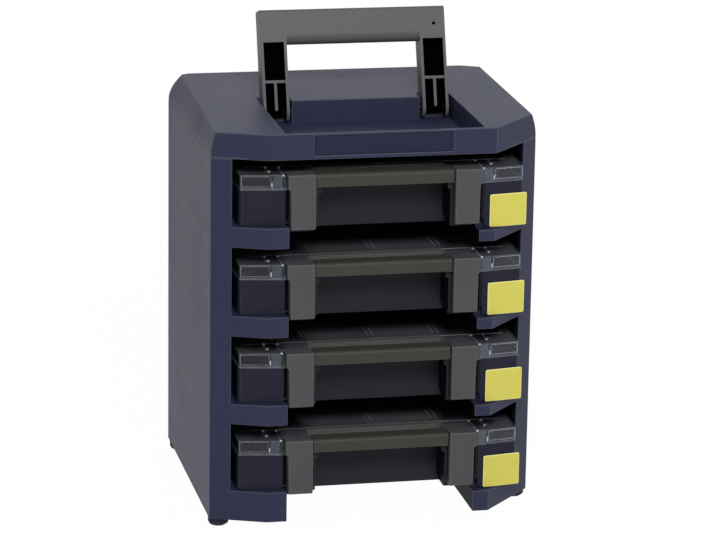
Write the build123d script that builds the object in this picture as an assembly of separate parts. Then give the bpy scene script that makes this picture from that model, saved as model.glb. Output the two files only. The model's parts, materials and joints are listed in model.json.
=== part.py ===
from build123d import *
import math
import os

# Assortment case carrier: an open-fronted box with four shelves, a folding carry handle
# and four flat assortment cases that slide out to the front.
# Lengths are in millimetres. X runs to the right, Y to the back and Z up from the floor.
# Y is counted from the carrier's front face here, and each piece is moved at the end so
# that the origin lies under the middle of the whole object.
# A case, the handle and the handle's seat are drawn about their own middle plane, which
# lies seat_shift to the right of the carrier's.

# Assortment case
case_count = 4
case_half = 160.0
case_depth = 288.0
case_front = 8.0
case_wall = 2.5
case_corner = 2.5
end_rake = 8.0
end_step = 9.9
tray_height = 50.5
bay_half_inner = 77.0
bay_half_outer = 110.0
bay_front = 20.0
recess_front = 42.0
cheek_front = 4.0
cheek_bottom = 9.0
cheek_wall = 3.0
fascia_inner = 114.0
seat_shift = 2.2

# Lid
lid_height = 16.5
lid_wall = 2.0
lid_top_wall = 2.2
lid_bead = 1.4
lid_bead_height = 2.4
catch_depth = 5.0
catch_height = 4.0
catch_end_room = 3.0
stud_half = 3.5
stud_height = 1.6
stud_taper = 30.0
stud_from_end = 34.0
stud_from_front = 14.0
stud_from_back = 22.0

# Grip bar of a case
bar_front = -1.0
bar_depth = 20.0
bar_height = 14.9
bar_wall = 2.6
bar_round = 4.5
bar_end_wall = 8.0
bar_rib_count = 5
bar_rib_thick = 1.8
lug_width = 3.0
lug_drop = 8.0
lug_front = 5.0
lug_depth = 9.0
lug_tongue = 3.0

# Latches
latch_side_room = 1.0
latch_foot_room = 4.6
latch_widening = 0.8
latch_front = -4.5
latch_bottom = 7.8
latch_head = 16.0
latch_head_slope = 2.0
latch_wall = 2.6
latch_rim_depth = 12.0
latch_edge = 0.8
bar_below_latch = 0.4
hook_reach = 21.0
latch_pin_y = 11.0
latch_pin_z = 13.4
latch_pin_radius = 2.0
latch_barrel = 4.4

# Label clip
label_inset = 9.9
label_overhang = 3.4
label_z0 = -0.2
label_z1 = 36.9
label_thick = 1.8
label_corner = 1.2
label_tab = 8.0
label_tab_below = 12.0
label_tab_above = 8.0

# Compartments: three fixed walls from front to back, and loose plates across between them
column_walls = (-75.0, 0.0, 75.0)
plate_rows = 3
plate_wall = 1.8
wall_below_lid = 1.0

# Rear hinge of a case: two lugs on the tray and one long barrel on the lid
hinge_radius = 3.6
hinge_pin_radius = 1.6
hinge_half = 70.0
hinge_lug = 12.0
hinge_arm_drop = 14.0
hinge_arm_rise = 11.0

# Carrier shell
wall = 3.0
foot_height = 10.0
left_side_room = 7.7
right_side_room = 5.8
left_upright_width = 22.5
rear_room = 28.0
front_flat_half = 127.0
left_front_setback = 23.6
right_front_setback = 66.4
left_rear_setback = 6.0
left_rear_width = 8.0
right_rear_setback = 12.0
right_rear_width = 24.0
upright_return = 16.0
rear_return_width = 14.0
top_flange_width = 14.0
top_flange_front = 20.0
top_flange_rear = 6.0

# Shelf rails
shelf_pitch = 101.2
base_rail_height = 34.6
top_bay_height = 76.0
rail_height = 23.4
rail_notch_drop = 10.8
stop_height = 8.0
stop_from_inside = 8.0
stop_from_outside = 12.0

# Top cover
cover_height = 29.2
shoulder_steps = 6
left_shoulder_front = 5.0
left_shoulder_rear = 16.0
right_shoulder_front = 7.3
right_shoulder_rear = 5.0
rear_shoulder = 1.5
nameplate_half = 77.6
nameplate_height = 22.3
nameplate_top_margin = 2.7
nameplate_depth = 1.6
trough_front = 4.5
trough_depth = 26.6
trough_floor_wall = 2.0
trough_side_room = 4.0
block_front = 163.0
block_side_room = 3.0
pivot_boss_length = 8.0
pivot_boss_half = 6.5

# Carry handle, drawn standing upright over its pivot and then leaned back
handle_half = 107.0
leg_width = 30.0
leg_depth = 23.0
leg_wall = 3.4
handle_length = 114.5
grip_height = 39.0
grip_round = 11.0
grip_top_round = 3.5
channel_top = 77.5
cross_rib_height = 33.0
handle_lean = 18.0
pivot_y = 168.0
pivot_below_top = 13.5
pivot_pin_radius = 3.0
vent_radius = 1.8
vent_depth = 4.0
vent_x = 94.0
vent_below_top = 20.0

# Back panel
back_panel_edge_room = 3.0
bead_height = 10.0
bead_depth = 3.0
bead_slope = 2.0
bead_end_room = 34.0
bead_level_room = 30.0

# Fasteners and feet
screw_radius = 1.75
screw_head_radius = 3.5
screw_head_height = 2.0
screw_slot_half = 2.4
screw_slot_wide = 1.0
screw_slot_depth = 0.9
rear_screw_length = 12.0
rear_screw_count = 2
rear_screw_low = 30.0
rear_screw_high = 34.0
cover_screw_length = 16.0
cover_screw_inset = 7.5
cover_screw_from_front = 34.0
cover_screw_from_rear = 22.0
boss_half = 4.6
foot_half = 11.0
foot_corner = 6.4
foot_edge = 3.0
foot_inset = 12.0
foot_stem_half = 3.4
foot_stem_length = 9.0
foot_boss_above = 4.0

# Clearances
bearing_play = 0.05
screw_play = 0.05
plate_play = 0.3
running_gap = 0.3
rail_latch_gap = 0.3
belly_gap = 2.7
latch_gap = 1.0
hook_gap = 0.2
end_gap = 0.5
reach_past = 1.0

# Values worked out from the ones above
half_width = case_half - seat_shift + left_side_room + left_upright_width
upright_inner = {-1: case_half - seat_shift + left_side_room, 1: case_half + seat_shift + right_side_room}
front_setback = {-1: left_front_setback, 1: right_front_setback}
rear_setback = {-1: left_rear_setback, 1: right_rear_setback}
rear_corner_width = {-1: left_rear_width, 1: right_rear_width}
case_back = case_front + case_depth
carrier_depth = case_back + rear_room
base_z = foot_height
rail_tops = [base_z + base_rail_height + shelf_pitch * (case_count - 1 - n) for n in range(case_count)]
cover_z = rail_tops[0] + top_bay_height
top_z = cover_z + cover_height
belly_rise = running_gap - end_step
latch_outer_top = bay_half_outer - latch_side_room
latch_outer_bottom = bay_half_outer - latch_foot_room
rail_seat_half = latch_outer_bottom + latch_widening + rail_latch_gap
rail_inner = {-1: rail_seat_half - seat_shift, 1: rail_seat_half + seat_shift}
belly_half = rail_seat_half - belly_gap
notch_end = case_front + end_rake + case_wall + running_gap
rail_rear = case_back + running_gap + wall
rear_inner = carrier_depth - wall
rear_flat_half = half_width - max(left_rear_width, right_rear_width)
rear_return_half = rear_flat_half - rear_return_width
rear_screw_x = rear_flat_half - rear_return_width / 2
cover_screw_x = half_width - wall - cover_screw_inset
foot_x = half_width - foot_inset
lid_top = tray_height + lid_height
latch_top = lid_top + hook_gap + latch_wall
latch_inner = bay_half_inner + latch_gap
bar_top = latch_top - bar_below_latch
bar_bottom = bar_top - bar_height
hinge_y = case_back + hinge_radius + 2 * running_gap
label_x0 = bay_half_outer + label_inset
label_x1 = case_half + label_overhang
leg_inner = handle_half - leg_width
block_half = leg_inner - block_side_room
trough_half = handle_half + trough_side_room
trough_floor = top_z - trough_depth
pivot_z = top_z - pivot_below_top
lean = math.radians(handle_lean)
origin_y = (carrier_depth + latch_front) / 2

os.makedirs("parts", exist_ok=True)


def save(shape, name):
    """Moves a finished piece to the shared origin and writes it."""
    moved = Pos(0, -origin_y, 0) * shape
    moved.label = name
    export_step(moved, "parts/" + name + ".step")


def block(x0, x1, y0, y1, z0, z1):
    return Pos((x0 + x1) / 2, (y0 + y1) / 2, (z0 + z1) / 2) * Box(abs(x1 - x0), abs(y1 - y0), abs(z1 - z0))


def prism(points, z0, z1):
    """A plan outline carried up from z0 to z1."""
    return extrude(Pos(0, 0, z0) * Polygon(*points, align=None), z1 - z0, dir=(0, 0, 1))


def side_prism(points, x0, x1):
    """An outline in Y and Z carried along X from x0 to x1."""
    face = Plane.YZ * Polygon(*points, align=None)
    return Pos(min(x0, x1), 0, 0) * extrude(face, abs(x1 - x0), dir=(1, 0, 0))


def rod_x(x0, x1, y, z, radius):
    return Pos((x0 + x1) / 2, y, z) * Rot(0, 90, 0) * Cylinder(radius, abs(x1 - x0))


def rod_y(y0, y1, x, z, radius):
    return Pos(x, (y0 + y1) / 2, z) * Rot(90, 0, 0) * Cylinder(radius, abs(y1 - y0))


def rod_z(z0, z1, x, y, radius):
    return Pos(x, y, (z0 + z1) / 2) * Cylinder(radius, z1 - z0)


def cross_point(first, second):
    """Where two lines, each given by two points, meet."""
    (ax, ay), (bx, by) = first
    (cx, cy), (dx, dy) = second
    ux, uy, vx, vy = bx - ax, by - ay, dx - cx, dy - cy
    t = ((cx - ax) * vy - (cy - ay) * vx) / (ux * vy - uy * vx)
    return (ax + t * ux, ay + t * uy)


def inset(points, distance, closed=True):
    """Moves every side of an anticlockwise outline inwards and meets them again."""
    count = len(points)
    sides = count if closed else count - 1
    lines = []
    for i in range(sides):
        (ax, ay), (bx, by) = points[i], points[(i + 1) % count]
        length = math.hypot(bx - ax, by - ay)
        nx, ny = -(by - ay) / length * distance, (bx - ax) / length * distance
        lines.append(((ax + nx, ay + ny), (bx + nx, by + ny)))
    moved = []
    for i in range(count):
        if not closed and i == 0:
            moved.append(lines[0][0])
        elif not closed and i == count - 1:
            moved.append(lines[-1][1])
        else:
            moved.append(cross_point(lines[i - 1], lines[i % sides]))
    return moved


def front_y(x, side):
    """How far the carrier's front is set back at a distance x from the middle plane."""
    return max(0.0, (x - front_flat_half) / (half_width - front_flat_half) * front_setback[side])


def rear_y(side):
    """Where a side wall of the carrier ends and its rear corner begins."""
    return carrier_depth - rear_setback[side]


def foot_places(side):
    return [front_setback[side] + foot_half, rear_y(side) - foot_half]


def cover_screw_places(side):
    return [front_setback[side] + cover_screw_from_front, rear_y(side) - cover_screw_from_rear]


def rear_screw_levels():
    low, high = base_z + rear_screw_low, cover_z - rear_screw_high
    return [low + (high - low) * i / (rear_screw_count - 1) for i in range(rear_screw_count)]


def side_panel(side):
    """One side of the carrier with its upright, rear return and four rails.
    It is drawn on the right-hand side and turned over for the left."""
    inner, face = upright_inner[side], half_width - wall
    outer = [
        (inner, front_y(inner, side) + upright_return),
        (inner, front_y(inner, side)),
        (half_width, front_setback[side]),
        (half_width, rear_y(side)),
        (half_width - rear_corner_width[side], carrier_depth),
        (rear_return_half, carrier_depth),
    ]
    panel = prism(outer + list(reversed(inset(outer, wall, closed=False))), base_z, cover_z)
    for level, rail_top in enumerate(rail_tops):
        bottom = base_z if level == case_count - 1 else rail_top - rail_height
        panel += rail(bottom, rail_top, side)
    flange_y = (front_setback[side] + top_flange_front, rear_y(side) - top_flange_rear)
    panel += block(face - top_flange_width, face + wall / 2, *flange_y, cover_z - wall, cover_z)
    for y in cover_screw_places(side):
        panel -= rod_z(cover_z - wall - reach_past, cover_z + reach_past, cover_screw_x, y,
                       screw_radius + screw_play)
    for z in rear_screw_levels():
        panel -= rear_screw_hole(z)
    boss_top = base_z + foot_stem_length + foot_boss_above
    for y in foot_places(side):
        boss = block(foot_x - foot_half, foot_x + foot_half, y - foot_half, y + foot_half,
                     base_z, boss_top)
        panel += boss & inner_space(side)
        panel -= foot_stem(foot_x, y, screw_play, end_gap)
    return panel if side > 0 else mirror(panel, about=Plane.YZ)


def rail(bottom, top, side):
    """A shelf rail: a hollow ledge, open below, with a stop for the case at its rear.
    The right-hand rails are notched for the label end of a case."""
    skin_x = half_width - wall / 2
    outer = [
        (rail_inner[side], 0),
        (front_flat_half, 0),
        (skin_x, front_y(skin_x, side)),
        (skin_x, rail_rear),
        (rail_inner[side], rail_rear),
    ]
    core = inset(outer, wall)
    core[2] = (half_width - wall, core[2][1])
    core[3] = (half_width - wall, core[3][1])
    shape = prism(outer, bottom, top)
    hollow = prism(core, bottom - reach_past, top - wall)
    if side > 0:
        start, end, low = rail_inner[side] - reach_past, case_half + seat_shift, top - rail_notch_drop
        shape -= block(start, end, -reach_past, notch_end, low, top + reach_past)
        hollow -= block(start, end, -reach_past, notch_end + wall, low - wall, top)
    stop = block(rail_inner[side] + stop_from_inside, case_half - stop_from_outside,
                 rail_rear - wall, rail_rear, top - wall, top + stop_height)
    return shape - hollow + stop


def inner_space(side):
    """Everything inside a side panel's skin, to trim what is added to its corners."""
    skin_x = half_width - wall / 2
    return prism([
        (0, 0),
        (front_flat_half, 0),
        (skin_x, front_y(skin_x, side)),
        (skin_x, rear_y(side)),
        (half_width - rear_corner_width[side], carrier_depth - wall / 2),
        (0, carrier_depth - wall / 2),
    ], base_z, top_z)


def rear_screw_head(x, z, play):
    """The countersunk head of a screw in the rear return, or its seat."""
    cone = Cone(screw_head_radius + play, screw_radius + play, screw_head_height,
                align=(Align.CENTER, Align.CENTER, Align.MIN))
    return Pos(x, carrier_depth, z) * Rot(90, 0, 0) * cone


def rear_screw_hole(z):
    hole = rod_y(rear_inner - reach_past, carrier_depth, rear_screw_x, z, screw_radius + screw_play)
    return hole + rear_screw_head(rear_screw_x, z, screw_play)


def back_panel():
    """The plate that ties both sides together behind the cases, stiffened by raised beads."""
    edge = rear_flat_half - back_panel_edge_room
    face = rear_inner - wall
    plate = block(-edge, edge, face, rear_inner, base_z, cover_z)
    bead_half, groove_half = edge - bead_end_room, edge - bead_end_room - wall
    rise = (cover_z - base_z - 2 * bead_level_room) / case_count
    for n in range(case_count + 1):
        z = base_z + bead_level_room + n * rise
        bead = block(-bead_half, bead_half, face - bead_depth, face, z - bead_height / 2, z + bead_height / 2)
        plate += chamfer(bead.faces().sort_by(Axis.Y)[0].edges(), bead_slope)
        plate -= block(-groove_half, groove_half, rear_inner - bead_depth, rear_inner + reach_past,
                       z - bead_height / 4, z + bead_height / 4)
    for side in (-1, 1):
        for z in rear_screw_levels():
            x, end = side * rear_screw_x, carrier_depth - rear_screw_length
            plate += block(x - boss_half, x + boss_half, end - wall, face, z - boss_half, z + boss_half)
            plate -= rod_y(end - end_gap, rear_inner + reach_past, x, z, screw_radius + screw_play)
    return plate


def rear_screws():
    group = []
    for side in (-1, 1):
        for z in rear_screw_levels():
            x = side * rear_screw_x
            shank = rod_y(carrier_depth - rear_screw_length, carrier_depth - screw_head_height, x, z,
                          screw_radius)
            slot = block(x - screw_slot_half, x + screw_slot_half, carrier_depth - screw_slot_depth,
                         carrier_depth + reach_past, z - screw_slot_wide / 2, z + screw_slot_wide / 2)
            group.append(rear_screw_head(x, z, 0) + shank - slot)
    return Compound(children=group)


def cover_screws():
    """Hexagon screws that come up through the side panels' flanges into the cover."""
    group = []
    seat = cover_z - wall
    for side in (-1, 1):
        for y in cover_screw_places(side):
            x = side * cover_screw_x
            hexagon = Pos(x, y, seat - screw_head_height) * RegularPolygon(screw_head_radius, 6)
            shank = rod_z(seat, seat + cover_screw_length, x, y, screw_radius)
            group.append(extrude(hexagon, screw_head_height) + shank)
    return Compound(children=group)


def foot_stem(x, y, play, above):
    """The square stem of a foot, or the socket for it in a side panel."""
    half = foot_stem_half + play
    return block(x - half, x + half, y - half, y + half, base_z - play, base_z + foot_stem_length + above)


def feet():
    """Eight-sided pads with a stem that is pressed up into the side panels."""
    group = []
    for side in (-1, 1):
        for y in foot_places(side):
            x = side * foot_x
            pad = block(x - foot_half, x + foot_half, y - foot_half, y + foot_half, 0, base_z)
            pad = chamfer(pad.edges().filter_by(Axis.Z), foot_corner)
            pad = chamfer(pad.edges().group_by(Axis.Z)[0], foot_edge)
            group.append(pad + foot_stem(x, y, 0, 0))
    return Compound(children=group)


def cover_outline(rise):
    """The cover's plan outline at a height above its lower edge. The shoulders draw in
    with the square of the height."""
    share = (rise / cover_height) ** 2
    lf, lr = left_shoulder_front * share, left_shoulder_rear * share
    rf, rr = right_shoulder_front * share, right_shoulder_rear * share
    back = carrier_depth - rear_shoulder * share
    return [
        (-half_width + lf, front_y(half_width - lf, -1)),
        (-front_flat_half, 0),
        (front_flat_half, 0),
        (half_width - rf, front_y(half_width - rf, 1)),
        (half_width - rr, rear_y(1)),
        (half_width - right_rear_width - rr / 2, back),
        (-half_width + left_rear_width + lr, back),
        (-half_width + lr, rear_y(-1)),
    ]


def cover_body(distance):
    """The cover as a block, with its outline set inwards and its top lowered by a distance."""
    faces = []
    for step in range(shoulder_steps + 1):
        rise = cover_height * step / shoulder_steps
        outline = inset(cover_outline(rise), distance) if distance else cover_outline(rise)
        z = cover_z + rise * (cover_height - distance) / cover_height
        faces.append(Pos(0, 0, z) * Polygon(*outline, align=None))
    return loft(faces, ruled=True)


def handle_seat(margin, floor_margin):
    """The trough for the folded handle and the two pockets for its legs, grown by a margin.
    Each pocket's rear wall leans as the handle does."""
    floor = trough_floor - floor_margin
    over = top_z + reach_past
    reach = (leg_depth / 2 + running_gap + margin) / math.cos(lean)
    low_y, high_y = (pivot_y + reach + (z - pivot_z) * math.tan(lean) for z in (floor, over))
    start = block_front - wall
    pocket = [(start, floor), (low_y, floor), (high_y, over), (start, over)]
    half = trough_half + margin
    seat = block(-half, half, trough_front - margin, block_front + margin, floor, over)
    for side in (-1, 1):
        seat += side_prism(pocket, side * (block_half - margin), side * half)
    return Pos(seat_shift, 0, 0) * seat


def top_cover():
    """The moulded top: front band, drawn-in shoulders and the sunk seat of the handle."""
    body = cover_body(0)
    core = cover_body(wall)
    outside = handle_seat(wall, trough_floor_wall) & body
    for side in (-1, 1):
        for start, reach in ((side * block_half, -side), (side * trough_half, side)):
            outside += block(seat_shift + start, seat_shift + start + reach * pivot_boss_length,
                             pivot_y - pivot_boss_half, pivot_y + pivot_boss_half,
                             pivot_z - pivot_boss_half, top_z - wall)
        for y in cover_screw_places(side):
            x = side * cover_screw_x
            boss = block(x - boss_half, x + boss_half, y - boss_half, y + boss_half, cover_z, top_z - wall)
            outside += boss & body
    cover = (body - core - Pos(0, 0, -wall) * core + outside) - handle_seat(0, 0)
    plate_top = top_z - nameplate_top_margin
    cover -= block(-nameplate_half, nameplate_half, -reach_past, nameplate_depth,
                   plate_top - nameplate_height, plate_top)
    for side in (-1, 1):
        for y in cover_screw_places(side):
            cover -= rod_z(cover_z - reach_past, cover_z - wall + cover_screw_length + end_gap,
                           side * cover_screw_x, y, screw_radius + screw_play)
        for x0, x1 in pivot_spans(side):
            cover -= rod_x(x0, x1, pivot_y, pivot_z, pivot_pin_radius + screw_play)
    return cover


def pivot_spans(side):
    """From where to where the two stub pins of one leg run: from a boss of the cover through
    one flange of the leg."""
    bury = pivot_boss_length - end_gap
    inside = (side * (block_half - bury), side * (leg_inner + leg_wall))
    outside = (side * (trough_half + bury), side * (handle_half - leg_wall))
    return [(seat_shift + x0, seat_shift + x1) for x0, x1 in (inside, outside)]


def handle_pivot(side):
    spans = pivot_spans(side)
    return Compound(children=[rod_x(x0, x1, pivot_y, pivot_z, pivot_pin_radius) for x0, x1 in spans])


def carry_handle():
    """The carry handle: a rounded grip on two channel legs that are open to the front."""
    half_depth = leg_depth / 2
    rib_depth = half_depth - reach_past
    grip = block(-handle_half, handle_half, -half_depth, half_depth,
                 handle_length - grip_height, handle_length)
    grip = fillet(grip.edges().filter_by(Axis.X).group_by(Axis.Z)[0], grip_round)
    shape = fillet(grip.edges().filter_by(Axis.X).group_by(Axis.Z)[-1], grip_top_round)
    for side in (-1, 1):
        x0, x1 = side * leg_inner, side * handle_half
        shape += block(x0, x1, -half_depth, half_depth, 0, handle_length - grip_round)
        shape += rod_x(x0, x1, 0, 0, half_depth)
    for side in (-1, 1):
        left, right = side * (leg_inner + leg_wall), side * (handle_half - leg_wall)
        middle = (left + right) / 2
        shape -= block(left, right, -half_depth - reach_past, half_depth - leg_wall, -leg_depth, channel_top)
        shape += block(left, right, -rib_depth, rib_depth, cross_rib_height - leg_wall / 2,
                       cross_rib_height + leg_wall / 2)
        shape += block(middle - leg_wall / 2, middle + leg_wall / 2, -rib_depth, rib_depth,
                       0, cross_rib_height)
        for x0, x1 in ((leg_inner, leg_inner + leg_wall), (handle_half - leg_wall, handle_half)):
            shape -= rod_x(side * x0, side * x1, 0, 0, pivot_pin_radius + bearing_play)
    shape -= rod_y(-half_depth - reach_past, -half_depth + vent_depth, vent_x, handle_length - vent_below_top,
                   vent_radius)
    return Pos(seat_shift, pivot_y, pivot_z) * Rot(-handle_lean, 0, 0) * shape


def rake_y(x):
    """The front of a case's end, which falls back towards the outer corner."""
    return case_front + end_rake * (x - bay_half_outer) / (case_half - bay_half_outer)


def end_outline():
    """Plan outline of the whole case, anticlockwise from its left rear corner."""
    front_corner, rear_corner = case_half - case_corner, case_back - case_corner
    right = [
        (bay_half_inner, recess_front),
        (bay_half_inner, bay_front),
        (bay_half_outer, bay_front),
        (bay_half_outer, case_front),
        (front_corner, rake_y(front_corner)),
        (case_half, rake_y(case_half) + case_corner),
        (case_half, rear_corner),
        (front_corner, case_back),
    ]
    return [(-x, y) for x, y in reversed(right)] + right


def belly_outline():
    """Plan outline of the belly, the part of a tray that hangs between the rails."""
    right = [
        (bay_half_inner, recess_front),
        (bay_half_inner, bay_front),
        (belly_half, bay_front),
        (belly_half, case_back),
    ]
    return [(-x, y) for x, y in reversed(right)] + right


def tray_space(margin, low, high):
    """The room inside a tray, set in from its walls, from the belly up."""
    ends = prism(inset(end_outline(), margin), end_step + low, high)
    return ends + prism(inset(belly_outline(), margin), low, end_step + low + reach_past)


def tray():
    """The bottom half of a case: a belly that hangs between the rails, ends that ride on
    them, and two cheeks in front that frame the finger recess."""
    body = prism(end_outline(), end_step, tray_height) + prism(belly_outline(), 0, end_step + reach_past)
    body -= tray_space(case_wall, case_wall, tray_height + reach_past)
    cheek_face = bay_half_inner - cheek_wall
    pin_hole = latch_pin_radius + screw_play
    for side in (-1, 1):
        x0, x1 = side * cheek_face, side * bay_half_inner
        body += block(x0, x1, cheek_front, recess_front + reach_past, cheek_bottom, tray_height)
        body += block(x0, x1, cheek_front, bay_front - lid_bead - running_gap,
                      tray_height - reach_past, bar_bottom)
        body -= rod_x(x0, x1, latch_pin_y, latch_pin_z, pin_hole)
        body -= rod_x(side * bay_half_outer, side * (bay_half_outer + case_wall), latch_pin_y, latch_pin_z,
                      pin_hole)
        body -= lug_tongue_block(side, screw_play)
        body += hinge_ring(side * hinge_half, side * (hinge_half + hinge_lug), below=True)
    body += prism(fascia_outline(), 0, end_step + reach_past)
    inside = tray_space(case_wall - end_gap, case_wall - end_gap, tray_height - wall_below_lid)
    for x in column_walls:
        body += block(x - plate_wall / 2, x + plate_wall / 2, case_front, case_back, 0, tray_height) & inside
    span = hinge_half + hinge_lug + reach_past
    return body - rod_x(-span, span, hinge_y, tray_height, hinge_pin_radius + screw_play)


def fascia_outline():
    """The strip below the right-hand end that hangs in the notch of its rail."""
    front = [(x, rake_y(x)) for x in (fascia_inner, case_half - case_corner)]
    return front + [(x, y + case_wall) for x, y in reversed(front)]


def hinge_ring(x0, x1, below):
    """A lug of the tray's hinge, or the barrel of the lid's, on its arm."""
    seat = tray_height if below else tray_height + 2 * running_gap
    near = seat - hinge_radius if below else seat + hinge_radius - 2 * running_gap
    far = seat - hinge_arm_drop if below else seat + hinge_arm_rise
    arm = [(case_back - reach_past, far), (hinge_y, near), (hinge_y, seat), (case_back - reach_past, seat)]
    return rod_x(x0, x1, hinge_y, tray_height, hinge_radius) + side_prism(arm, x0, x1)


def lug_tongue_block(side, play):
    """The square tongue of a bar's lug, or the slot for it through a cheek."""
    y, z = bar_front + lug_front + lug_depth / 2, bar_bottom - lug_drop / 2
    half = lug_tongue / 2 + play
    inner = bay_half_inner - cheek_wall
    return block(side * inner, side * bay_half_inner, y - half, y + half, z - half, z + half)


def lid():
    """The clear lid: a shallow box with a bead at its lip, latch catches and stacking studs."""
    outline = end_outline()
    shape = prism(outline, tray_height, lid_top)
    shape += prism(inset(outline, -lid_bead), tray_height, tray_height + lid_bead_height)
    shape -= prism(inset(outline, lid_wall), tray_height - reach_past, lid_top - lid_top_wall)
    catch = [
        (bay_front + lid_wall / 2, lid_top),
        (bay_front - catch_depth, lid_top),
        (bay_front - catch_depth, lid_top - catch_height / 2),
        (bay_front + lid_wall / 2, lid_top - catch_height * 3 / 2),
    ]
    stud = Pos(0, 0, lid_top) * Rectangle(2 * stud_half, 2 * stud_half)
    stud = extrude(stud, stud_height, taper=stud_taper)
    for side in (-1, 1):
        catch_ends = (side * (latch_inner + catch_end_room), side * (latch_outer_bottom - catch_end_room))
        shape += side_prism(catch, *catch_ends)
        for y in (rake_y(case_half) + stud_from_front, case_back - stud_from_back):
            shape += Pos(side * (case_half - stud_from_end), y, 0) * stud
    shape -= block(-case_half, case_half, case_back, hinge_y + hinge_arm_rise, tray_height - reach_past,
                   tray_height + hinge_arm_rise)
    end = hinge_half - running_gap
    shape += hinge_ring(-end, end, below=False)
    return shape - rod_x(-end, end, hinge_y, tray_height, hinge_pin_radius + screw_play)


def case_bar():
    """The grey bar across the finger recess, with a lug down the inside of each cheek."""
    half, rear = bay_half_inner, bar_front + bar_depth
    bar = block(-half, half, bar_front, rear, bar_bottom, bar_top)
    bar = fillet(bar.edges().filter_by(Axis.X).group_by(Axis.Z)[-1].sort_by(Axis.Y)[0], bar_round)
    bar -= block(-half + bar_end_wall, half - bar_end_wall, bar_front + bar_wall, rear - bar_wall,
                 bar_bottom - reach_past, bar_top - bar_wall)
    pitch = 2 * (half - bar_end_wall) / (bar_rib_count + 1)
    for n in range(bar_rib_count):
        x = (n - (bar_rib_count - 1) / 2) * pitch
        bar += block(x - bar_rib_thick / 2, x + bar_rib_thick / 2, bar_front + bar_wall / 2,
                     rear - bar_wall / 2, bar_bottom + reach_past, bar_top - bar_wall / 2)
    start = bar_front + lug_front
    for side in (-1, 1):
        face = side * (bay_half_inner - cheek_wall)
        bar += block(face - side * lug_width, face, start, start + lug_depth,
                     bar_bottom - lug_drop, bar_bottom)
        bar += lug_tongue_block(side, 0)
    return bar


def latch(side):
    """A latch: a tapered channel with a hook over the lid's catch and a barrel on its pin."""
    shoulder = latch_top - latch_head
    plate = [
        (latch_inner, latch_bottom),
        (latch_outer_bottom, latch_bottom),
        (latch_outer_bottom + latch_widening, shoulder - latch_head_slope),
        (latch_outer_top, shoulder),
        (latch_outer_top, latch_top),
        (latch_inner, latch_top),
    ]
    front = Plane.XZ.offset(-latch_front) * Polygon(*plate, align=None)
    core = Plane.XZ.offset(-latch_front - latch_wall) * Polygon(*inset(plate, latch_wall), align=None)
    body = extrude(front, -latch_rim_depth) - extrude(core, -latch_rim_depth)
    body += block(latch_inner, latch_outer_top, latch_front, latch_front + hook_reach,
                  latch_top - latch_wall, latch_top)
    body += rod_x(latch_inner, latch_outer_bottom, latch_pin_y, latch_pin_z, latch_barrel)
    inside = latch_front + latch_wall / 2
    web = [
        (inside, latch_bottom),
        (latch_pin_y, latch_pin_z - latch_barrel),
        (latch_pin_y, latch_pin_z + latch_barrel),
        (inside, latch_pin_z + latch_barrel),
    ]
    body += side_prism(web, latch_inner, latch_outer_bottom)
    body -= rod_x(latch_inner - reach_past, latch_outer_top, latch_pin_y, latch_pin_z,
                  latch_pin_radius + bearing_play)
    body = chamfer(body.faces().sort_by(Axis.Y)[0].edges(), latch_edge)
    return body if side > 0 else mirror(body, about=Plane.YZ)


def latch_pins():
    group = []
    for side in (-1, 1):
        group.append(rod_x(side * (bay_half_inner - cheek_wall), side * (bay_half_outer + case_wall),
                           latch_pin_y, latch_pin_z, latch_pin_radius))
    return Compound(children=group)


def label():
    """The plain yellow label clip: a plate along the raked front of the right-hand end and
    a tab round its corner."""
    rake = math.atan2(end_rake, case_half - bay_half_outer)
    out = (label_thick * math.sin(rake), -label_thick * math.cos(rake))
    start, end = (label_x0, rake_y(label_x0)), (label_x1, rake_y(label_x1))
    plate = prism([(start[0] + out[0], start[1] + out[1]), (end[0] + out[0], end[1] + out[1]), end, start],
                  label_z0, label_z1)
    plate = chamfer(plate.edges().filter_by(Axis((0, 0, 0), (out[0], out[1], 0))), label_corner)
    tab_end = rake_y(case_half) + case_corner + label_tab
    return plate + block(case_half, label_x1, end[1] - label_thick / 2, tab_end, label_z0 + label_tab_below,
                         label_z1 - label_tab_above)


def divider_plates():
    """Loose plates across the compartments, each cut to the room it stands in."""
    start, end = recess_front + case_wall, case_back - case_wall
    step = (end - start) / (plate_rows + 1)
    edges = [-case_half, *column_walls, case_half]
    room = tray_space(case_wall + plate_play, case_wall, tray_height - wall_below_lid)
    gap = plate_wall / 2 + plate_play
    group = []
    for n in range(1, plate_rows + 1):
        y = start + n * step
        for x0, x1 in zip(edges, edges[1:]):
            plate = block(x0 + gap, x1 - gap, y - plate_wall / 2, y + plate_wall / 2, 0, tray_height)
            group.append((plate & room).solids()[0])
    return Compound(children=group)


def hinge_pins():
    """One long pin that the lid turns on, through both of the tray's lugs."""
    end = hinge_half + hinge_lug
    return rod_x(-end, end, hinge_y, tray_height, hinge_pin_radius)


save(side_panel(-1), "left_side_panel")
save(side_panel(1), "right_side_panel")
save(back_panel(), "back_panel")
save(rear_screws(), "back_panel_screws")
save(top_cover(), "top_cover")
save(cover_screws(), "top_cover_screws")
save(feet(), "feet")
save(carry_handle(), "carry_handle")
save(handle_pivot(-1), "handle_pivot_left")
save(handle_pivot(1), "handle_pivot_right")

case_pieces = {
    "tray": tray(),
    "lid": lid(),
    "grip_bar": case_bar(),
    "latch_left": latch(-1),
    "latch_right": latch(1),
    "latch_pins": latch_pins(),
    "label": label(),
    "divider_plates": divider_plates(),
    "hinge_pins": hinge_pins(),
}
for level, rail_top in enumerate(rail_tops):
    for name, shape in case_pieces.items():
        save(Pos(seat_shift, 0, rail_top + belly_rise) * shape, "case_" + str(level + 1) + "_" + name)
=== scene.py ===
import json
import math
import bpy
import bmesh
import numpy as np
from mathutils import Matrix, Vector


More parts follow.
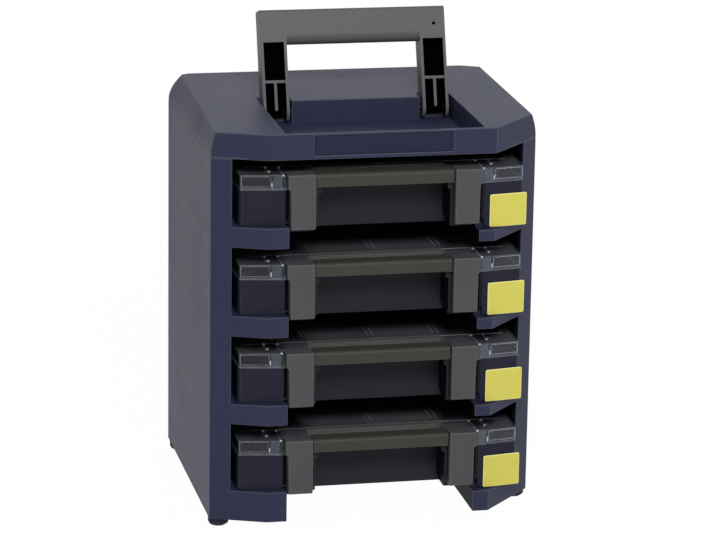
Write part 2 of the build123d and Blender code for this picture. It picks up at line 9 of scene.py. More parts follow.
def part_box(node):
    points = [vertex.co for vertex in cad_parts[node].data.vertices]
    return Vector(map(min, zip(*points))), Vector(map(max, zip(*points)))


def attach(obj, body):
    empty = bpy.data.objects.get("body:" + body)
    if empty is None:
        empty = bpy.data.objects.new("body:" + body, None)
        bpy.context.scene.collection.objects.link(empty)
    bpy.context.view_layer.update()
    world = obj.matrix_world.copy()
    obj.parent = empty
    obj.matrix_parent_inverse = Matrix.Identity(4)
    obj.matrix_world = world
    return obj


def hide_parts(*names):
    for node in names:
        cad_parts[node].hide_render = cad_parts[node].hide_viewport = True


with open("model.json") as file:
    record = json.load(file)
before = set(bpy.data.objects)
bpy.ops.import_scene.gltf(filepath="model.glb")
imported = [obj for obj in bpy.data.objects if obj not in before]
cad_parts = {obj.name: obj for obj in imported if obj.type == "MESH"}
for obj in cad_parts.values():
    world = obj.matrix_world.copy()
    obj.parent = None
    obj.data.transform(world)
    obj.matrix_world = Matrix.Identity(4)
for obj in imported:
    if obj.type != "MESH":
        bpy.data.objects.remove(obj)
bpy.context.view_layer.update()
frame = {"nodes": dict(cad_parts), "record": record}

# Assortment case carrier: the looks of its moulded plastic, clear lids and small fittings.
# Everything is in metres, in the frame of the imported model.

nodes = frame["nodes"]
bodyOf = {n: body for body, names in frame["record"]["behaviour"]["bodies"].items() for n in names}
slotOf = {s["node"]: s["material_slot"] for s in frame["record"]["subparts"]}
mm = 0.001
caseNumbers = range(1, 5)


# Camera

cameraPlan = {
    "place": (-0.8116, -3.79575, 1.3246),
    "azimuth": 12.17,
    "elevation": 15.43,
    "roll": -0.90,
    "focalPixels": 3513.88,
    "framePixels": 716,
    "sensor": 36.0,
}


def makeCamera(plan):
    az, el, roll = (math.radians(plan[k]) for k in ("azimuth", "elevation", "roll"))
    forward = Vector((math.sin(az) * math.cos(el), math.cos(az) * math.cos(el), -math.sin(el)))
    level = Vector((math.cos(az), -math.sin(az), 0))
    upright = level.cross(forward)
    right = math.cos(roll) * level - math.sin(roll) * upright
    up = math.sin(roll) * level + math.cos(roll) * upright
    data = bpy.data.cameras.new("camera")
    data.sensor_width = plan["sensor"]
    data.lens = plan["sensor"] * plan["focalPixels"] / plan["framePixels"]
    data.clip_end = 50
    camera = bpy.data.objects.new("camera", data)
    turn = Matrix((right, up, -forward)).transposed().to_4x4()
    camera.matrix_world = Matrix.Translation(plan["place"]) @ turn
    bpy.context.scene.collection.objects.link(camera)
    bpy.context.scene.camera = camera


makeCamera(cameraPlan)


# Shader boards: a board holds one material's nodes, and a wire is one value on it

class Wire:
    def __init__(self, board, socket):
        self.board, self.socket = board, socket

    def __add__(self, other):
        return self.board.maths("ADD", self, other)

    def __mul__(self, other):
        return self.board.maths("MULTIPLY", self, other)

    def __sub__(self, other):
        return self.board.maths("SUBTRACT", self, other)

    def __rsub__(self, other):
        return self.board.maths("SUBTRACT", other, self)

    def __truediv__(self, other):
        return self.board.maths("DIVIDE", self, other)

    def __mod__(self, other):
        return self.board.maths("FLOORED_MODULO", self, other)

    def __abs__(self):
        return self.board.maths("ABSOLUTE", self, 0.0)

    __radd__ = __add__
    __rmul__ = __mul__

    def over(self, edge):
        return self.board.maths("GREATER_THAN", self, edge)

    def clamped(self):
        return self.board.maths("ADD", self, 0.0, use_clamp=True)


class Board:
    def __init__(self, tree):
        self.tree = tree
        self.tree.nodes.clear()

    def node(self, kind, settings=None, values=None):
        made = self.tree.nodes.new(kind)
        for key, value in (settings or {}).items():
            setattr(made, key, value)
        for key, value in (values or {}).items():
            socket = made.inputs[key]
            if isinstance(value, Wire):
                self.tree.links.new(value.socket, socket)
            elif socket.type == "RGBA":
                socket.default_value = (*value, 1.0)
            else:
                socket.default_value = value
        return made

    def wire(self, kind, settings=None, values=None, out=0):
        return Wire(self, self.node(kind, settings, values).outputs[out])

    def maths(self, operation, first, second, use_clamp=False):
        settings = {"operation": operation, "use_clamp": use_clamp}
        return self.wire("ShaderNodeMath", settings, {0: first, 1: second})

    def place(self):
        return self.wire("ShaderNodeTexCoord", out="Object")

    def axes(self, place):
        made = self.node("ShaderNodeSeparateXYZ", None, {0: place})
        return [Wire(self, made.outputs[k]) for k in range(3)]

    def noise(self, place, size, detail=2.0, roughness=0.5):
        return self.wire("ShaderNodeTexNoise", None,
                         {"Vector": place, "Scale": 1 / size, "Detail": detail, "Roughness": roughness})

    def mix(self, share, first, second):
        return self.wire("ShaderNodeMix", {"data_type": "RGBA"}, {0: share, 6: first, 7: second}, out=2)

    def bump(self, height, depth, strength=1.0):
        values = {"Height": height, "Distance": depth, "Strength": strength}
        return self.wire("ShaderNodeBump", None, values)

    def seen(self):
        path = self.node("ShaderNodeLightPath")
        kinds = ("Is Camera Ray", "Is Glossy Ray", "Is Transmission Ray")
        return sum(Wire(self, path.outputs[kind]) for kind in kinds).clamped()

    def principled(self, sockets):
        shader = self.wire("ShaderNodeBsdfPrincipled", None, sockets)
        self.node("ShaderNodeOutputMaterial", None, {"Surface": shader})


def newMaterial(name):
    material = bpy.data.materials.new(name)
    material.use_nodes = True
    return material, Board(material.node_tree)


def shade(colour, factor):
    return tuple(c * factor for c in colour)


# Moulded plastic: a cloudy colour, a spark-eroded grain and fine handling marks. A look may
# also have faint lines of painted shade or painted highlight, each with a slight dip or rise in
# the bump, such as the painted shade along the sink marks outside each rail.

wear = {
    "rubSize": 0.35,              # a handling mark against a cloud
    "rubFrom": 0.56,
    "rubGain": 6.0,
    "rubRoughness": 0.06,
    "cloudRoughness": 0.10,
}


def mouldedPlastic(name, look):
    material, board = newMaterial(name)
    place = board.place()
    cloud = board.noise(place, look["cloud"], 3.0)
    grain = board.noise(place, look["grain"], 2.0, 0.6)
    rub = board.noise(place, look["cloud"] * wear["rubSize"], 5.0, 0.7)
    scuff = ((rub - wear["rubFrom"]) * wear["rubGain"]).clamped()
    darker, lighter = (shade(look["colour"], 1 + side * look["mottle"]) for side in (-1, 1))
    colour = board.mix(cloud, darker, lighter)
    dulled = (cloud - 0.5) * wear["cloudRoughness"] + scuff * wear["rubRoughness"]
    height = grain
    for line in look.get("lines", ()):
        mark = straightLine(board, place, line)
        colour = board.mix(mark * line["strength"], colour, line["colour"])
        height = height - mark * line["dip"]
    board.principled({
        "Base Color": board.mix(scuff * look["scuff"], colour, look["dust"]),
        "Roughness": dulled + look["roughness"],
        "Specular IOR Level": look["specular"],
        "Normal": board.bump(height, look["grainDepth"], 0.6),
    })
    return material


# A line at one value of X or Z, outside a distance from the middle and in front of a depth. It
# fades out to both sides over its width, sooner or later as its fade says, and comes back at
# each pitch.

def straightLine(board, place, line):
    axes = board.axes(place)
    half = line["pitch"] / 2
    away = abs((axes[line["axis"]] - (line["at"] - half)) % line["pitch"] - half)
    strength = ((1 - away / line["width"]) * line["fade"]).clamped()
    return strength * abs(axes[0]).over(line["outside"]) * (1 - axes[1].over(line["rear"]))


# Clear moulded plastic, seen through more when looked at squarely than along its surface. Its
# right half is a little more opaque, a painted highlight. Three stretches differ: a frosted strip
# between the latches, a lighter, bluer stretch of painted reflection beside each latch, and the
# end walls with the painted shade of the side panels on them.

def clearPlastic(name, look):
    material, board = newMaterial(name)
    place = board.place()
    x, y, z = board.axes(place)
    across = abs(x - look["middle"])
    frost = (1 - across.over(look["frostHalf"])) * (1 - y.over(look["frostRear"]))
    reflectedStretch = across.over(look["reflectionFrom"]) * (1 - across.over(look["reflectionTo"]))
    reflectedStretch = reflectedStretch * (1 - y.over(look["reflectionRear"]))
    shaded = across.over(look["shadedFrom"])
    facing = board.wire("ShaderNodeLayerWeight", None, {"Blend": look["blend"]}, out="Facing")
    haze = board.noise(place, look["cloud"], 3.0)
    ripple = board.noise(place, look["ripple"], 2.0)
    clear = board.mix(haze, shade(look["colour"], look["hazeShade"]), look["colour"])
    clear = board.mix(reflectedStretch, clear, look["reflectionColour"])
    frosted = board.mix(frost, clear, look["frostColour"])
    dulled = haze * look["hazeRoughness"] + frost * look["frostRoughness"]
    dulled = dulled + shaded * look["shadedRoughness"]
    alpha = facing * look["edgeAlpha"] + haze * look["hazeAlpha"] + x.over(0.0) * look["rightHighlightAlpha"]
    alpha = alpha + reflectedStretch * look["reflectionAlpha"] + frost * look["frostAlpha"] + look["alpha"]
    board.principled({
        "Base Color": board.mix(shaded, frosted, look["shadedColour"]),
        "Roughness": dulled + look["roughness"],
        "Specular IOR Level": look["specular"],
        "Alpha": (alpha * (1 - shaded * look["shadedThinning"])).clamped(),
        "Normal": board.bump(ripple, look["rippleDepth"], look["rippleStrength"]),
    })
    return material


# Plain steel: a fine drawn grain, with patches that are a little duller

def drawnSteel(name, look):
    material, board = newMaterial(name)
    place = board.place()
    patch = board.noise(place, look["patch"], 3.0)
    grain = board.noise(place, look["grain"], 2.0)
    board.principled({
        "Base Color": board.mix(patch, shade(look["colour"], 0.8), look["colour"]),
        "Metallic": 1.0,
        "Roughness": patch * 0.15 + look["roughness"],
        "Normal": board.bump(grain, look["grainDepth"], 0.5),
    })
    return material


carrierLook = {"colour": (0.025, 0.028, 0.060), "dust": (0.09, 0.095, 0.12), "mottle": 0.10,
               "scuff": 0.07, "roughness": 0.50, "specular": 0.15, "cloud": 90 * mm,
               "grain": 0.7 * mm, "grainDepth": 0.05 * mm}
# On the side walls: a painted shade line along the sink mark outside each rail, and a painted highlight line
# along a raised ledge below it, each with a dip or rise in the bump.
shelfShadeLine = {"axis": 2, "at": 346.7 * mm, "pitch": 101.2 * mm, "width": 1.6 * mm, "fade": 1.0,
             "outside": 187 * mm, "rear": 1.0, "strength": 0.45, "dip": 3.0,
             "colour": (0.008, 0.009, 0.02)}
ledgeHighlightLine = {**shelfShadeLine, "at": 326.3 * mm, "strength": 0.5, "dip": -3.0, "colour": (0.13, 0.135, 0.17)}
# On the cover: painted highlight lines along a raised seam and along the crease at the shoulder.
seamHighlightLine = {**ledgeHighlightLine, "at": 425.0 * mm, "pitch": 2.0, "width": 1.8 * mm, "outside": 150 * mm}
creaseHighlightLine = {**seamHighlightLine, "at": 452.9 * mm, "width": 0.7 * mm, "outside": 0.0, "strength": 0.6}
# Painted shade on the trays: a darker box over the recess between the latches, and near-black strips that
# stand in for the shadow in the gap beside each latch.
recessShade = {**seamHighlightLine, "axis": 0, "at": 2.2 * mm, "width": 110.0 * mm, "fade": 30.0, "outside": 0.0,
               "rear": -100 * mm, "strength": 0.9, "dip": 0.0, "colour": (0.0135, 0.0135, 0.0195)}
leftGapShadow = {**recessShade, "at": -104.8 * mm, "width": 3.0 * mm, "fade": 5.0,
           "colour": (0.001, 0.001, 0.002)}
rightGapShadow = {**leftGapShadow, "at": 114.0 * mm, "width": 2.2 * mm, "rear": -140 * mm}
looks = {
    "carrier_plastic": {**carrierLook, "lines": (shelfShadeLine, ledgeHighlightLine)},
    "cover_plastic": {**carrierLook, "lines": (seamHighlightLine, creaseHighlightLine)},
    "tray_plastic": {**carrierLook, "colour": (0.012, 0.012, 0.026), "roughness": 0.42, "scuff": 0.05,
                     "lines": (recessShade, leftGapShadow, rightGapShadow)},
    "foot_plastic": {**carrierLook, "colour": (0.016, 0.017, 0.029), "roughness": 0.65},
    "handle_plastic": {**carrierLook, "colour": (0.105, 0.105, 0.112), "dust": (0.2, 0.2, 0.2),
                       "roughness": 0.45},
    "latch_plastic": {**carrierLook, "colour": (0.068, 0.068, 0.071), "dust": (0.15, 0.15, 0.15)},
    # The lugs below each grip bar take a near-black finish of painted shade.
    "lug_painted_shade": {**carrierLook, "colour": (0.009, 0.009, 0.0095)},
    "bar_plastic": {**carrierLook, "colour": (0.042, 0.042, 0.035), "dust": (0.13, 0.13, 0.12)},
    "label_yellow": {**carrierLook, "colour": (0.61, 0.56, 0.095), "dust": (0.75, 0.7, 0.3),
                     "mottle": 0.03, "roughness": 0.40, "specular": 0.35},
    "plate_plastic": {**carrierLook, "colour": (0.014, 0.015, 0.038)},
    # Near-black finishes of painted shade: faces deep in the bays, and the handle's channels and vent.
    "bay_shade": {**carrierLook, "colour": (0.003, 0.003, 0.006), "dust": (0.01, 0.01, 0.015),
                  "specular": 0.03},
    "channel_painted_shade": {**carrierLook, "colour": (0.001, 0.001, 0.001), "dust": (0.002, 0.002, 0.002),
                      "specular": 0.0},
}
# Lighter colours for the edge radii: partly worn edges and partly a painted highlight along them.
edgeColours = {"carrier_plastic": (0.056, 0.060, 0.090), "tray_plastic": (0.024, 0.025, 0.045),
               "foot_plastic": (0.024, 0.025, 0.040), "handle_plastic": (0.135, 0.135, 0.142),
               "latch_plastic": (0.085, 0.085, 0.088), "bar_plastic": (0.055, 0.055, 0.047),
               "label_yellow": (0.84, 0.81, 0.30)}
lidLook = {"colour": (0.22, 0.23, 0.26), "alpha": 0.045, "edgeAlpha": 0.20, "hazeAlpha": 0.06,
           # The right half is a little more opaque: a painted highlight.
           "rightHighlightAlpha": 0.04, "blend": 0.35, "roughness": 0.14, "specular": 0.45,
           "hazeShade": 0.85, "hazeRoughness": 0.08,
           "cloud": 40 * mm, "ripple": 25 * mm, "rippleDepth": 0.15 * mm, "rippleStrength": 0.4,
           "middle": 2.2 * mm, "frostHalf": 76 * mm, "frostRear": -106 * mm,
           "frostColour": (0.085, 0.085, 0.08), "frostAlpha": 0.6, "frostRoughness": 0.3,
           # Beside each latch, a lighter and bluer stretch: a painted reflection.
           "reflectionFrom": 113.2 * mm, "reflectionTo": 123.4 * mm, "reflectionRear": -145 * mm,
           "reflectionColour": (0.26, 0.28, 0.36), "reflectionAlpha": 0.08,
           "shadedFrom": 159.3 * mm, "shadedColour": (0.01, 0.01, 0.012), "shadedThinning": 0.8,
           "shadedRoughness": 0.4}
# The lid's edge radii and ribs are lighter and more opaque than the lid, painted highlights, the ribs'
# stronger on the right half; the drops are near white, painted glints.
lidEdgeLook = {**lidLook, "colour": (0.50, 0.53, 0.60), "alpha": 0.26, "edgeAlpha": 0.24,
               "roughness": 0.2}
lidRibLook = {**lidLook, "colour": (0.52, 0.55, 0.62), "alpha": 0.10, "edgeAlpha": 0.22,
              "rightHighlightAlpha": 0.20, "roughness": 0.12}
lidGlintLook = {**lidLook, "colour": (0.80, 0.82, 0.85), "alpha": 0.60, "edgeAlpha": 0.20,
               "roughness": 0.10}
metalLooks = {
    # The pins' steel is given a very dark colour: painted shade, as their ends sit between tray and latch.
    "pin_steel": {"colour": (0.020, 0.020, 0.021), "roughness": 0.5, "patch": 8 * mm, "grain": 0.3 * mm,
                  "grainDepth": 0.01 * mm},
    "screw_steel": {"colour": (0.50, 0.50, 0.48), "roughness": 0.32, "patch": 4 * mm, "grain": 0.4 * mm,
                    "grainDepth": 0.015 * mm},
}

finishes = {slot: mouldedPlastic(slot, look) for slot, look in looks.items()}
edgeFinishes = {}
for slot, colour in edgeColours.items():
    wornAndHighlit = {**looks[slot], "colour": colour, "scuff": 2.5 * looks[slot]["scuff"]}
    edgeFinishes[slot] = mouldedPlastic(slot + "_edge", wornAndHighlit)
finishes["lid_clear"] = clearPlastic("lid_clear", lidLook)
edgeFinishes["lid_clear"] = clearPlastic("lid_clear_edge", lidEdgeLook)
finishes["lid_rib"] = clearPlastic("lid_rib", lidRibLook)
finishes["lid_drop"] = clearPlastic("lid_drop", lidGlintLook)
finishes.update({slot: drawnSteel(slot, look) for slot, look in metalLooks.items()})
print("materials:", len(finishes) + len(edgeFinishes))


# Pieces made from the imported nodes

def setFinish(piece, *materials):
    piece.data.materials.clear()
    for material in materials:
        piece.data.materials.append(material)


# A copy of a imported node with the small radii that a mould leaves on its outer edges. The
# radii take the lighter edge finish of their plastic, partly wear and partly a painted highlight,
# and inner corners stay sharp.

ownFinish = {"top_cover": "cover_plastic"}
softenPlan = {"sharpAngle": 38.0, "segments": 2, "flatAngle": 0.4, "weld": 0.002 * mm}


def softened(node, roundness, plan):
    mesh = nodes[node].data.copy()
    mesh.name = node + "_moulded"
    work = bmesh.new()
    work.from_mesh(mesh)
    bmesh.ops.remove_doubles(work, verts=work.verts, dist=plan["weld"])
    bmesh.ops.dissolve_limit(work, angle_limit=math.radians(plan["flatAngle"]), verts=work.verts,
                             edges=work.edges)
    weights = work.edges.layers.float.new("bevel_weight_edge")
    for edge in work.edges:
        sharp = edge.calc_face_angle(0) > math.radians(plan["sharpAngle"])
        edge.smooth = not sharp
        edge[weights] = float(sharp and edge.is_convex)
    work.to_mesh(mesh)
    work.free()
    piece = bpy.data.objects.new(node + "_moulded", mesh)
    bpy.context.scene.collection.objects.link(piece)
    slot = slotOf[node]
    setFinish(piece, finishes[ownFinish.get(node, slot)], edgeFinishes[slot])
    bevel = piece.modifiers.new("radii", "BEVEL")
    bevel.width = roundness
    bevel.segments = plan["segments"]
    bevel.limit_method = "WEIGHT"
    bevel.use_clamp_overlap = False
    bevel.harden_normals = False
    bevel.material = 1
    weighted = piece.modifiers.new("shading", "WEIGHTED_NORMAL")
    weighted.keep_sharp = True
    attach(piece, bodyOf[node])
    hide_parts(node)
    return piece


radii = {"left_side_panel": 0.8, "right_side_panel": 0.8, "top_cover": 0.9, "back_panel": 0.5,
         "carry_handle": 0.7, "feet": 0.8}
caseRadii = {"tray": 0.5, "lid": 0.35, "grip_bar": 0.4, "latch_left": 0.6, "latch_right": 0.6,
             "label": 0.8}
for number in caseNumbers:
    radii.update({f"case_{number}_{part}": size for part, size in caseRadii.items()})
for node, cad in nodes.items():
    setFinish(cad, finishes[slotOf[node]])
moulded = {node: softened(node, size * mm, softenPlan) for node, size in radii.items()}
print("moulded pieces:", len(moulded))


# Some faces lie where hardly any light reaches, and take a third finish of painted shade

def darken(node, finish, choose):
    mesh = moulded[node].data
    centre, normal = (np.empty(len(mesh.polygons) * 3) for _ in range(2))
    mesh.polygons.foreach_get("center", centre)
    mesh.polygons.foreach_get("normal", normal)
    chosen = choose(centre.reshape(-1, 3), normal.reshape(-1, 3))
    mesh.materials.append(finishes[finish])
    mesh.polygons.foreach_set("material_index", np.where(chosen, 2, 0))


# The handle's faces painted with shade lie between the two flanges of a leg, behind its ribs, in the
# handle's own leaning directions, and in the small vent in the front of the grip

channelPlan = {"pivot": (2.2 * mm, 8.25 * mm, 439.9 * mm), "lean": 18.0, "across": (80.2 * mm, 103.8 * mm),
               "depth": (-8.5 * mm, 9.8 * mm), "ventAcross": 94.0 * mm, "ventAlong": 94.5 * mm,
               "ventRadius": 2.0 * mm}


def inChannels(centre, _):
    plan = channelPlan
    lean = math.radians(plan["lean"])
    away = centre - plan["pivot"]
    along = away @ (0, math.sin(lean), math.cos(lean))
    depth = away @ (0, -math.cos(lean), math.sin(lean))
    across = np.abs(away[:, 0])
    between = (across > plan["across"][0]) & (across < plan["across"][1])
    channel = between & (depth > plan["depth"][0]) & (depth < plan["depth"][1])
    fromVent = np.hypot(away[:, 0] - plan["ventAcross"], along - plan["ventAlong"])
    return channel | (fromVent < plan["ventRadius"])


# In the bays between the cases the faces painted with shade are those that look sideways,
# and the lugs below each grip bar

bayPlan = {"middle": 2.2 * mm, "half": 113.0 * mm, "sideways": 0.7, "barHeight": 16.2 * mm}


def inBay(centre, normal):
    sideways = np.abs(normal[:, 0]) > bayPlan["sideways"]
    return sideways & (np.abs(centre[:, 0] - bayPlan["middle"]) < bayPlan["half"])


def belowBar(centre, _):
    return centre[:, 2] < centre[:, 2].max() - bayPlan["barHeight"]


darken("carry_handle", "channel_painted_shade", inChannels)
darken("left_side_panel", "bay_shade", inBay)
darken("right_side_panel", "bay_shade", inBay)
for number in caseNumbers:
    darken(f"case_{number}_tray", "bay_shade", inBay)
    darken(f"case_{number}_grip_bar", "lug_painted_shade", belowBar)
print("dark faces given")


# New surfaces

# Quads over an array of points: rows run along the first axis and columns along the second.
# Columns close on themselves, and rows do where they are told to.

def ringGrid(points, closedRows=False):
    rows, columns = points.shape[:2]
    i, j = np.meshgrid(np.arange(rows if closedRows else rows - 1), np.arange(columns), indexing="ij")
    ni, nj = (i + 1) % rows, (j + 1) % columns
    faces = np.stack([i * columns + j, ni * columns + j, ni * columns + nj, i * columns + nj], -1)
    return points.reshape(-1, 3), faces.reshape(-1, 4)


# A rounded rectangle: each corner is a quarter circle about its own centre, and the straight
# sides run from one quarter to the next. It gives the points and the way out of the outline.

def roundedOutline(halfWide, halfHigh, corner, steps=5):
    turn = np.linspace(0, np.pi / 2, steps)
    angle = np.concatenate([turn + k * np.pi / 2 for k in range(4)])
    signX = np.repeat([1, -1, -1, 1], steps)
    signY = np.repeat([1, 1, -1, -1], steps)
    out = np.stack([np.cos(angle), np.sin(angle)], -1)
    centre = np.stack([signX * (halfWide - corner), signY * (halfHigh - corner)], -1)
    return centre + corner * out, out


# A raised rib round a rounded rectangle on a plane: its section is half an ellipse over the
# plane, and a shallow root below it.

def ribRing(centre, across, along, halfWide, halfHigh, corner, rib):
    across, along = np.array(across), np.array(along)
    normal = np.cross(across, along)
    line, out = roundedOutline(halfWide, halfHigh, corner)
    swing = np.linspace(0, np.pi, rib["steps"])
    offset = np.append(np.cos(swing), [-1, 1]) * rib["width"] / 2
    height = np.append(np.sin(swing) * rib["height"], [-rib["root"], -rib["root"]])
    flat = line[:, None, :] + out[:, None, :] * offset[None, :, None]
    points = flat[..., :1] * across + flat[..., 1:] * along + height[None, :, None] * normal
    return ringGrid(points + np.array(centre), closedRows=True)


# An egg shape, sunk to its middle in the wall it stands on: its rings are circles whose radius
# follows the sine of the angle from its top

def drop(centre, size, rings=8, turns=12):
    fall = np.linspace(0, np.pi, rings + 1)[:, None]
    turn = np.linspace(0, 2 * np.pi, turns, endpoint=False)[None, :]
    unit = [np.sin(fall) * np.cos(turn), np.sin(fall) * np.sin(turn), np.cos(fall) + 0 * turn]
    return ringGrid(np.stack(unit, -1) * size + np.array(centre))


# Surfaces put together as one piece of one body

def surfacePiece(name, surfaces, node, finish):
    start, allPoints, allFaces = 0, [], []
    for points, faces in surfaces:
        allPoints.append(points)
        allFaces.append(faces + start)
        start += len(points)
    mesh = bpy.data.meshes.new(name)
    mesh.from_pydata(np.concatenate(allPoints).tolist(), [], np.concatenate(allFaces).tolist())
    work = bmesh.new()
    work.from_mesh(mesh)
    bmesh.ops.remove_doubles(work, verts=work.verts, dist=0.001 * mm)
    bmesh.ops.recalc_face_normals(work, faces=work.faces)
    work.to_mesh(mesh)
    work.free()
    mesh.shade_smooth()
    piece = bpy.data.objects.new(name, mesh)
    bpy.context.scene.collection.objects.link(piece)
    setFinish(piece, finish)
    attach(piece, bodyOf[node])


# The lid's ribs and drops: a framed window on the front of each end, ridges on top, double
# ridges over the tray's walls, a rim round the whole lid and small drops. The ribs' lighter
# finish is a painted highlight, and the drops' near-white finish a painted glint. Distances
# across are from the case's middle plane, and depths are from its front.

lidPlan = {
    "bayOuter": 110.0 * mm, "caseHalf": 160.0 * mm, "rake": 8.0 * mm, "frontY": -151.75 * mm,
    "backY": 136.25 * mm, "caseX": 2.2 * mm, "lipHeight": 2.4 * mm,
    "hingeDrop": 3.6 * mm,        # the hinge barrel reaches this far below the lip
    "studRise": 1.6 * mm,         # the stacking studs stand this far above the top
    "window": (126.2 * mm, 157.8 * mm),
    "windowLow": 1.4 * mm, "windowHigh": 1.5 * mm, "windowCorner": 1.2 * mm,
    "ridges": ((112.0 * mm, 19.0 * mm, 18.0 * mm), (125.3 * mm, 29.5 * mm, 10.0 * mm)),
    "ridge": (0.7 * mm, 0.8 * mm),
    "walls": (-75.0 * mm, 0.0, 75.0 * mm),
    "wallRidge": {"offset": 3.0 * mm, "size": 0.5 * mm, "ends": (54 * mm, 102 * mm)},
    "drops": ((112.5 * mm, 1.0 * mm), (111.0 * mm, 37.5 * mm), (125.0 * mm, 20.0 * mm),
              (125.5 * mm, 39.0 * mm)),
    "drop": (1.6 * mm, 1.4 * mm, 1.2 * mm),
    "groove": {"x": 124.6 * mm, "size": (0.7 * mm, 0.5 * mm, 3.2 * mm)},
    "rim": {"halfWide": 150.0 * mm, "front": 42.0 * mm, "rear": 10.0 * mm, "corner": 8.0 * mm},
    "rib": {"width": 0.8 * mm, "height": 0.35 * mm, "root": 0.3 * mm, "steps": 7},
}


def lidRibs(number, plan):
    node = f"case_{number}_lid"
    low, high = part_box(node)
    lidLow, lidTop = low[2] + plan["hingeDrop"], high[2] - plan["studRise"]
    slope = math.atan2(plan["rake"], plan["caseHalf"] - plan["bayOuter"])
    surfaces, glints = [], []
    for side in (-1, 1):
        across = (math.cos(slope), side * math.sin(slope), 0.0)
        start, end = plan["window"]
        x = side * (start + end) / 2
        y = plan["frontY"] + math.tan(slope) * (abs(x) - plan["bayOuter"])
        bottom, top = lidLow + plan["lipHeight"] + plan["windowLow"], lidTop - plan["windowHigh"]
        centre = (x + plan["caseX"], y, (bottom + top) / 2)
        surfaces.append(ribRing(centre, across, (0, 0, 1), (end - start) / 2 / math.cos(slope),
                                (top - bottom) / 2, plan["windowCorner"], plan["rib"]))
        ridgeWide, ridgeHigh = plan["ridge"]
        for x, y, length in plan["ridges"]:
            centre = (side * x + plan["caseX"], plan["frontY"] + y, lidTop)
            surfaces.append(drop(centre, (ridgeWide, length, ridgeHigh)))
        for x, y in plan["drops"]:
            glints.append(drop((side * x + plan["caseX"], plan["frontY"] + y, lidTop), plan["drop"]))
        groove = plan["groove"]
        y = plan["frontY"] + math.tan(slope) * (groove["x"] - plan["bayOuter"])
        centre = (side * groove["x"] + plan["caseX"], y, lidLow + plan["lipHeight"] + groove["size"][2])
        glints.append(drop(centre, groove["size"]))
    ridge = plan["wallRidge"]
    start, end = ridge["ends"]
    for x in plan["walls"]:
        for offset in (-ridge["offset"], ridge["offset"]):
            centre = (x + offset + plan["caseX"], plan["frontY"] + (start + end) / 2, lidTop)
            surfaces.append(drop(centre, (ridge["size"], (end - start) / 2, ridge["size"])))
    rim = plan["rim"]
    front, rear = plan["frontY"] + rim["front"], plan["backY"] - rim["rear"]
    surfaces.append(ribRing((plan["caseX"], (front + rear) / 2, lidTop), (1, 0, 0), (0, 1, 0),
                            rim["halfWide"], (rear - front) / 2, rim["corner"], plan["rib"]))
    surfacePiece(f"case_{number}_lid_ribs", surfaces, node, finishes["lid_rib"])
    surfacePiece(f"case_{number}_lid_drops", glints, node, finishes["lid_drop"])


for number in caseNumbers:
    lidRibs(number, lidPlan)
print("lid ribs:", len(caseNumbers))


# A bare plate in the shallow seat on the cover's front band: a flat face with rounded edges.
# Rings of the outline run from the middle of the face over its edge to the middle of its back.

platePlan = {"halfWide": 76.8 * mm, "halfHigh": 10.4 * mm, "corner": 1.5 * mm, "z": 439.55 * mm,
             "seatY": -158.15 * mm, "thick": 1.0 * mm, "round": 0.35 * mm, "steps": 5, "innerRing": 0.6}


def barePlate(plan):
    line, out = roundedOutline(plan["halfWide"], plan["halfHigh"], plan["corner"])
    swing = np.linspace(np.pi / 2, 0, plan["steps"])
    inwards = np.concatenate([plan["round"] * (1 - np.cos(swing)), [0.0]])
    height = np.concatenate([plan["thick"] - plan["round"] * (1 - np.sin(swing)), [0.0]])
    rings = [line - out * d for d in inwards]
    rings = [rings[0] * 0.0, rings[0] * plan["innerRing"]] + rings + [rings[-1] * 0.0]
    height = np.concatenate([[plan["thick"]] * 2, height, [0.0]])
    points = np.array([np.stack([r[:, 0], np.full(len(r), plan["seatY"] - h), plan["z"] + r[:, 1]], -1)
                       for r, h in zip(rings, height)])
    surfacePiece("band_plate", [ringGrid(points)], "top_cover", finishes["plate_plastic"])


barePlate(platePlan)
print("band plate made")


# Floor, world and lamps

stagePlan = {"floorRadius": 14.0, "floorColour": (0.86, 0.86, 0.86), "floorGlow": 0.985, "ambient": 0.24,
             "floorDrop": 0.2 * mm, "rings": 24, "turns": 96}


# Seen by the camera and in reflections the floor is near white, and it keeps a soft shadow

def whiteFloor(plan):
    material, board = newMaterial("floor_white")
    plain = board.wire("ShaderNodeBsdfDiffuse", None, {"Color": plan["floorColour"]})
    glow = board.wire("ShaderNodeEmission", None, {"Color": (1.0, 1.0, 1.0), "Strength": 1.0})
    share = board.seen() * plan["floorGlow"]
    shader = board.wire("ShaderNodeMixShader", None, {0: share, 1: plain, 2: glow})
    board.node("ShaderNodeOutputMaterial", None, {"Surface": shader})
    return material


# A disc: the radius of a ring of points grows with the square of its number

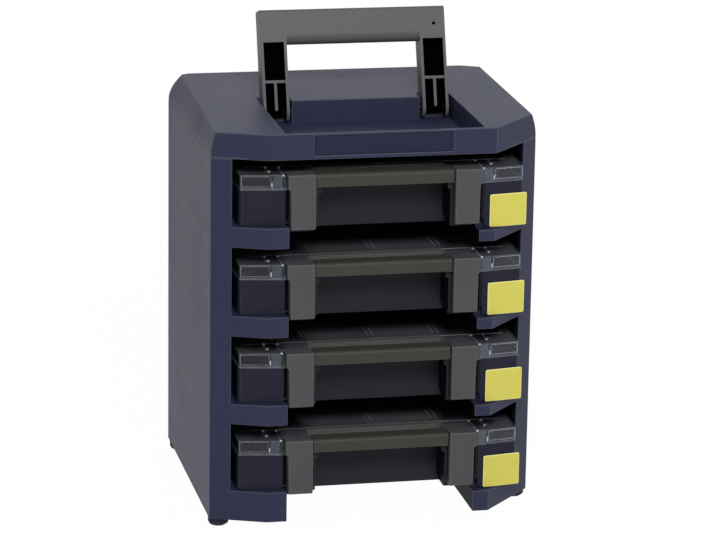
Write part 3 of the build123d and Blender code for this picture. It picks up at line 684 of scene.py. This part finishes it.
def makeFloor(plan):
    rings, turns = plan["rings"], plan["turns"]
    radius = plan["floorRadius"] * (np.arange(rings + 1) / rings) ** 2
    angle = np.linspace(0, 2 * np.pi, turns, endpoint=False)
    x, y = radius[:, None] * np.cos(angle), radius[:, None] * np.sin(angle)
    points, faces = ringGrid(np.stack([x, y, np.full_like(x, -plan["floorDrop"])], axis=-1))
    mesh = bpy.data.meshes.new("floor")
    mesh.from_pydata(points.tolist(), [], faces.tolist())
    floor = bpy.data.objects.new("floor", mesh)
    bpy.context.scene.collection.objects.link(floor)
    setFinish(floor, whiteFloor(plan))


def makeWorld(plan):
    world = bpy.data.worlds.new("studio")
    bpy.context.scene.world = world
    world.use_nodes = True
    board = Board(world.node_tree)
    soft, plain = (board.wire("ShaderNodeBackground", None, {"Color": (1.0, 1.0, 1.0), "Strength": strength})
                   for strength in (plan["ambient"], 1.0))
    mixed = board.wire("ShaderNodeMixShader", None, {0: board.seen(), 1: soft, 2: plain})
    board.node("ShaderNodeOutputWorld", None, {"Surface": mixed})


def makeLamp(name, plan):
    data = bpy.data.lights.new(name, "AREA")
    data.shape = "DISK"
    data.size = plan["size"]
    data.energy = plan["power"]
    lamp = bpy.data.objects.new(name, data)
    lamp.visible_glossy = plan["glossy"]
    way = Vector(plan["target"]) - Vector(plan["place"])
    turn = way.to_track_quat("-Z", "Y").to_matrix().to_4x4()
    lamp.matrix_world = Matrix.Translation(plan["place"]) @ turn
    bpy.context.scene.collection.objects.link(lamp)


lamps = {
    "key": {"place": (-0.2, -3.1, 2.5), "target": (0, 0, 0.25), "size": 1.2, "power": 100,
            "glossy": True},
    "fill": {"place": (3.0, -1.2, 1.0), "target": (0, 0, 0.25), "size": 1.8, "power": 8, "glossy": True},
    "back": {"place": (0.6, 3.0, 1.2), "target": (0, 0, 0.3), "size": 1.8, "power": 30, "glossy": False},
}
makeFloor(stagePlan)
makeWorld(stagePlan)
for lampName, plan in lamps.items():
    makeLamp(lampName, plan)
print("stage: floor, world and", len(lamps), "lamps")

bpy.context.scene.view_settings.view_transform = "Standard"
bpy.context.view_layer.update()
